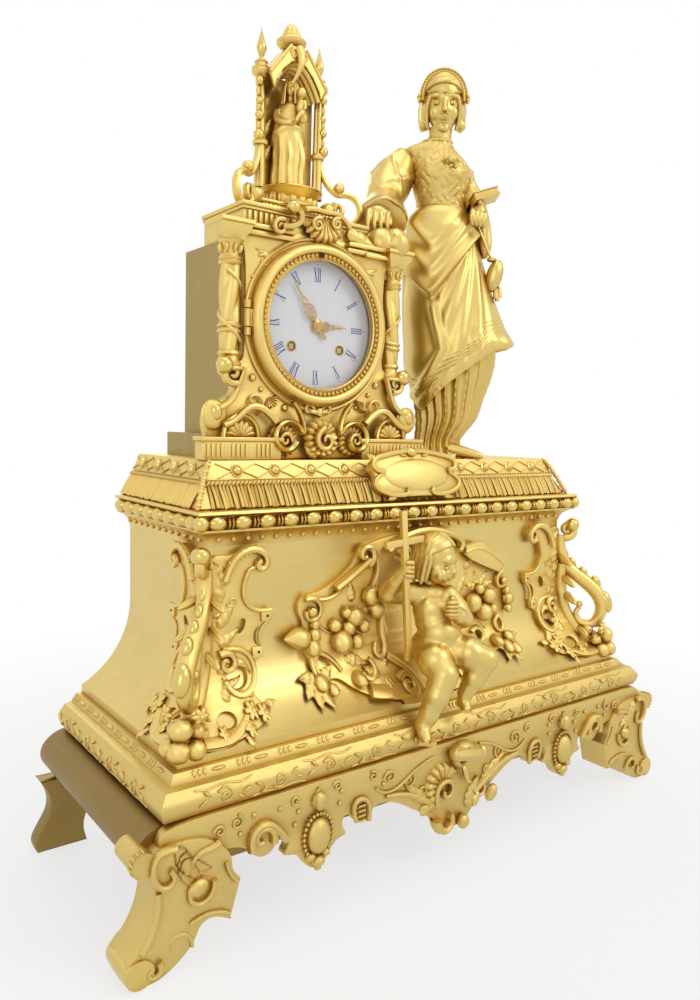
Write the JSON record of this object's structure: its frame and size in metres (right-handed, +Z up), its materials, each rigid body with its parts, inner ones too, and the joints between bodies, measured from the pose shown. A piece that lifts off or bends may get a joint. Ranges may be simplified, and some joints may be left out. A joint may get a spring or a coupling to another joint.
{
  "type": "figural mantel clock",
  "caption": "Gilt-bronze mantel clock: flared plinth on scroll feet, fringed terrace, dial case with a niche group, standing woman and seated putto; working striking movement inside.",
  "frame": {"origin": "on the table, under the middle of the clock", "axes": "+X the viewer's right, +Y to the back, +Z up"},
  "size_m": [0.438, 0.1795, 0.5312],
  "materials": {
    "gilt_bronze": "matt gilt, burnished on the high points",
    "satin_gilt": "satin brushed gilt",
    "worn_brass": "plain dull brass",
    "movement_brass": "grained brass",
    "bell_metal": "turned bell metal",
    "steel": "polished steel",
    "enamel": "white fired enamel",
    "glass": "clear flat glass"
  },
  "bodies": {
    "case": {"base_box": "worn_brass", "base_moulding": "gilt_bronze", "plinth_shell": "satin_gilt", "gadroon_rim": "gilt_bronze", "fringed_terrace": "gilt_bronze", "tie_rods": "steel", "front_right_foot": "gilt_bronze", "front_left_foot": "gilt_bronze", "rear_right_foot": "worn_brass", "rear_left_foot": "worn_brass", "front_apron": "gilt_bronze", "right_corner_mount": "gilt_bronze", "left_corner_mount": "gilt_bronze", "centre_mount": "gilt_bronze", "putto": "gilt_bronze", "putto_cross": "gilt_bronze", "title_cartouche": "gilt_bronze", "case_step": "satin_gilt", "case_shell": "satin_gilt", "case_front": "gilt_bronze", "left_column": "gilt_bronze", "right_column": "gilt_bronze", "case_attic": "gilt_bronze", "niche_base": "gilt_bronze", "niche_frame": "gilt_bronze", "niche_crown": "gilt_bronze", "niche_figures": "gilt_bronze", "woman_skirt": "gilt_bronze", "woman_bodice": "gilt_bronze", "woman_head": "gilt_bronze", "woman_right_arm": "gilt_bronze", "woman_left_arm": "gilt_bronze", "dial": "enamel", "dial_pan": "movement_brass", "front_plate": "movement_brass", "back_plate": "movement_brass", "plate_pillars": "movement_brass", "bell": "bell_metal", "movement_straps": "movement_brass"},
    "minutes": {"centre_wheel": "movement_brass", "cannon_pinion": "movement_brass", "minute_hand": "gilt_bronze"},
    "hours": {"hour_wheel": "movement_brass", "hour_hand": "gilt_bronze"},
    "minute_wheel": {"minute_wheel": "movement_brass"},
    "going_barrel": {"going_barrel": "movement_brass"},
    "second_wheel": {"second_wheel": "movement_brass"},
    "third_wheel": {"third_wheel": "movement_brass"},
    "escape_wheel": {"escape_wheel": "movement_brass"},
    "strike_second_wheel": {"strike_second_wheel": "movement_brass", "count_wheel": "movement_brass"},
    "strike_barrel": {"strike_barrel": "movement_brass"},
    "pin_wheel": {"pin_wheel": "movement_brass"},
    "fly": {"fly": "movement_brass"},
    "pallet_anchor": {"pallet_anchor": "steel"},
    "pendulum": {"pendulum": "movement_brass"},
    "hammer": {"hammer": "steel"},
    "bezel": {"bezel": "gilt_bronze", "bezel_glass": "glass"},
    "rear_cover": {"rear_cover": "movement_brass"}
  },
  "joints": [
    {"name": "time_set", "type": "hinge", "parent": "case", "child": "minutes", "pos_m": [-0.0644, 0.031, 0.3342], "axis": [0, 1, 0], "continuous": true},
    {"name": "hour_turn", "type": "hinge", "parent": "case", "child": "hours", "pos_m": [-0.0644, 0.031, 0.3342], "axis": [0, 1, 0], "continuous": true},
    {"name": "minute_wheel_turn", "type": "hinge", "parent": "case", "child": "minute_wheel", "pos_m": [-0.0644, 0.031, 0.3462], "axis": [0, 1, 0], "continuous": true},
    {"name": "going_barrel_turn", "type": "hinge", "parent": "case", "child": "going_barrel", "pos_m": [-0.046, 0.031, 0.3208], "axis": [0, 1, 0], "continuous": true},
    {"name": "second_wheel_turn", "type": "hinge", "parent": "case", "child": "second_wheel", "pos_m": [-0.04974, 0.031, 0.34061], "axis": [0, 1, 0], "continuous": true},
    {"name": "third_wheel_turn", "type": "hinge", "parent": "case", "child": "third_wheel", "pos_m": [-0.07652, 0.031, 0.34402], "axis": [0, 1, 0], "continuous": true},
    {"name": "escape_wheel_turn", "type": "hinge", "parent": "case", "child": "escape_wheel", "pos_m": [-0.0644, 0.031, 0.35208], "axis": [0, 1, 0], "continuous": true},
    {"name": "strike_run", "type": "hinge", "parent": "case", "child": "strike_second_wheel", "pos_m": [-0.09824, 0.031, 0.33376], "axis": [0, 1, 0], "continuous": true},
    {"name": "strike_barrel_turn", "type": "hinge", "parent": "case", "child": "strike_barrel", "pos_m": [-0.0828, 0.031, 0.3208], "axis": [0, 1, 0], "continuous": true},
    {"name": "pin_wheel_turn", "type": "hinge", "parent": "case", "child": "pin_wheel", "pos_m": [-0.09659, 0.031, 0.34311], "axis": [0, 1, 0], "continuous": true},
    {"name": "fly_turn", "type": "hinge", "parent": "case", "child": "fly", "pos_m": [-0.09813, 0.031, 0.35182], "axis": [0, 1, 0], "continuous": true},
    {"name": "pendulum_swing", "type": "hinge", "parent": "case", "child": "pendulum", "pos_m": [-0.0644, 0.054, 0.36468], "axis": [0, 1, 0], "range_deg": [-4, 4]},
    {"name": "anchor_rock", "type": "hinge", "parent": "case", "child": "pallet_anchor", "pos_m": [-0.0644, 0.031, 0.36468], "axis": [0, 1, 0], "range_deg": [-4, 4]},
    {"name": "hammer_lift", "type": "hinge", "parent": "case", "child": "hammer", "pos_m": [-0.0784, 0.031, 0.3672], "axis": [0, 1, 0], "range_deg": [0, 12]},
    {"name": "bezel_open", "type": "hinge", "parent": "case", "child": "bezel", "pos_m": [-0.1166, -0.0028, 0.3342], "axis": [0, 0, -1], "range_deg": [0, 95]},
    {"name": "rear_cover_open", "type": "hinge", "parent": "case", "child": "rear_cover", "pos_m": [-0.0202, 0.0773, 0.3342], "axis": [0, 0, -1], "range_deg": [0, 110]}
  ],
  "couplings": [
    {"joint": "minute_wheel_turn", "follows": "time_set", "ratio": -0.33333},
    {"joint": "hour_turn", "follows": "time_set", "ratio": 0.083333},
    {"joint": "second_wheel_turn", "follows": "time_set", "ratio": -0.14286},
    {"joint": "going_barrel_turn", "follows": "time_set", "ratio": 0.020408},
    {"joint": "third_wheel_turn", "follows": "time_set", "ratio": -12},
    {"joint": "escape_wheel_turn", "follows": "time_set", "ratio": 144},
    {"joint": "strike_barrel_turn", "follows": "strike_run", "ratio": -0.14286},
    {"joint": "pin_wheel_turn", "follows": "strike_run", "ratio": -4},
    {"joint": "fly_turn", "follows": "strike_run", "ratio": 30},
    {"joint": "anchor_rock", "follows": "pendulum_swing", "ratio": 1}
  ]
}
